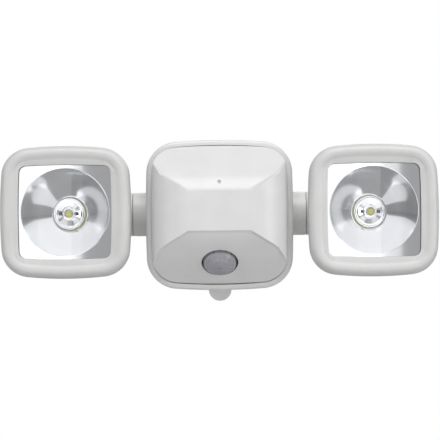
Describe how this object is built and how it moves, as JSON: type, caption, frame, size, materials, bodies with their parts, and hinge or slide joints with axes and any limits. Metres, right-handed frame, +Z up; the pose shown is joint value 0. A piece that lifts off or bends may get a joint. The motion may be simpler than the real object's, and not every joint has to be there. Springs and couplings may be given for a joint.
{
  "type": "motion sensor security light",
  "caption": "Battery outdoor security light: a square body with a motion sensor, on a wall bracket, with a square lamp head on an elbow arm at each side.",
  "frame": {"origin": "middle of the wall bracket's two screw holes, on the wall plane", "axes": "+Z up, the light faces -Y, the wall is the plane Y = 0, +X to the right of someone who looks at the light"},
  "size_m": [0.3368, 0.12, 0.1273],
  "materials": {
    "grey_plastic": "matte",
    "bracket_plastic": "matte",
    "inner_plastic": "matte",
    "clear_plastic": "clear",
    "sensor_plastic": "gloss",
    "mirror_metal": "mirror",
    "rubber": "matte",
    "screw_steel": "satin",
    "sink_aluminium": "satin",
    "board_green": "gloss",
    "led_yellow": "gloss",
    "cell_jacket": "printed sleeve over a metal can",
    "contact_brass": "satin"
  },
  "bodies": {
    "bracket": {"mounting_plate": "bracket_plastic"},
    "tab": {"release_tab": "bracket_plastic"},
    "unit": {"rear_housing": "grey_plastic", "front_shell": "grey_plastic", "housing_seal": "rubber", "housing_screws": "screw_steel", "contact_carrier": "inner_plastic", "contact_springs": "contact_brass", "battery_cell_1": "cell_jacket", "battery_cell_2": "cell_jacket", "battery_cell_3": "cell_jacket", "battery_cell_4": "cell_jacket", "cell_contacts": "contact_brass", "main_board": "board_green", "board_screws": "screw_steel", "sensor_lens": "sensor_plastic", "lens_seal": "rubber", "sensor_cup": "inner_plastic", "sensor_board": "board_green", "sensor_can": "sink_aluminium", "light_pipe": "clear_plastic", "right_arm_stub": "grey_plastic", "left_arm_stub": "grey_plastic", "right_stub_nut": "inner_plastic", "left_stub_nut": "inner_plastic"},
    "cap": {"battery_cap": "grey_plastic", "cap_seal": "rubber"},
    "right_arm": {"right_elbow": "grey_plastic", "right_friction_ring": "rubber", "right_elbow_clip": "screw_steel"},
    "left_arm": {"left_elbow": "grey_plastic", "left_friction_ring": "rubber", "left_elbow_clip": "screw_steel"},
    "right_head": {"right_bezel": "grey_plastic", "right_window": "clear_plastic", "right_window_gasket": "rubber", "right_reflector": "mirror_metal", "right_led": "led_yellow", "right_led_board": "board_green", "right_heat_sink": "sink_aluminium", "right_head_shell": "grey_plastic", "right_head_screws": "screw_steel", "right_pivot_bolt": "screw_steel", "right_pivot_nut": "screw_steel"},
    "left_head": {"left_bezel": "grey_plastic", "left_window": "clear_plastic", "left_window_gasket": "rubber", "left_reflector": "mirror_metal", "left_led": "led_yellow", "left_led_board": "board_green", "left_heat_sink": "sink_aluminium", "left_head_shell": "grey_plastic", "left_head_screws": "screw_steel", "left_pivot_bolt": "screw_steel", "left_pivot_nut": "screw_steel"}
  },
  "joints": [
    {"name": "tab_press", "type": "hinge", "parent": "bracket", "child": "tab", "pos_m": [0, -0.0018, -0.0335], "axis": [1, 0, 0], "range_deg": [0, 3.5], "stiffness_Nm_per_rad": 2},
    {"name": "unit_lift", "type": "slide", "parent": "bracket", "child": "unit", "axis": [0, 0, 1], "range_m": [0, 0.008]},
    {"name": "battery_cap_twist", "type": "hinge", "parent": "unit", "child": "cap", "pos_m": [0, 0, 0], "axis": [0, 1, 0], "range_deg": [0, 30]},
    {"name": "right_arm_tilt", "type": "hinge", "parent": "unit", "child": "right_arm", "pos_m": [0.0693, -0.044, 0.002], "axis": [1, 0, 0], "range_deg": [-70, 70]},
    {"name": "left_arm_tilt", "type": "hinge", "parent": "unit", "child": "left_arm", "pos_m": [-0.0693, -0.044, 0.002], "axis": [1, 0, 0], "range_deg": [-70, 70]},
    {"name": "right_head_pan", "type": "hinge", "parent": "right_arm", "child": "right_head", "pos_m": [0.1184, -0.044, 0.002], "axis": [0, 0, 1], "range_deg": [-10, 70]},
    {"name": "left_head_pan", "type": "hinge", "parent": "left_arm", "child": "left_head", "pos_m": [-0.1184, -0.044, 0.002], "axis": [0, 0, 1], "range_deg": [-70, 10]}
  ]
}
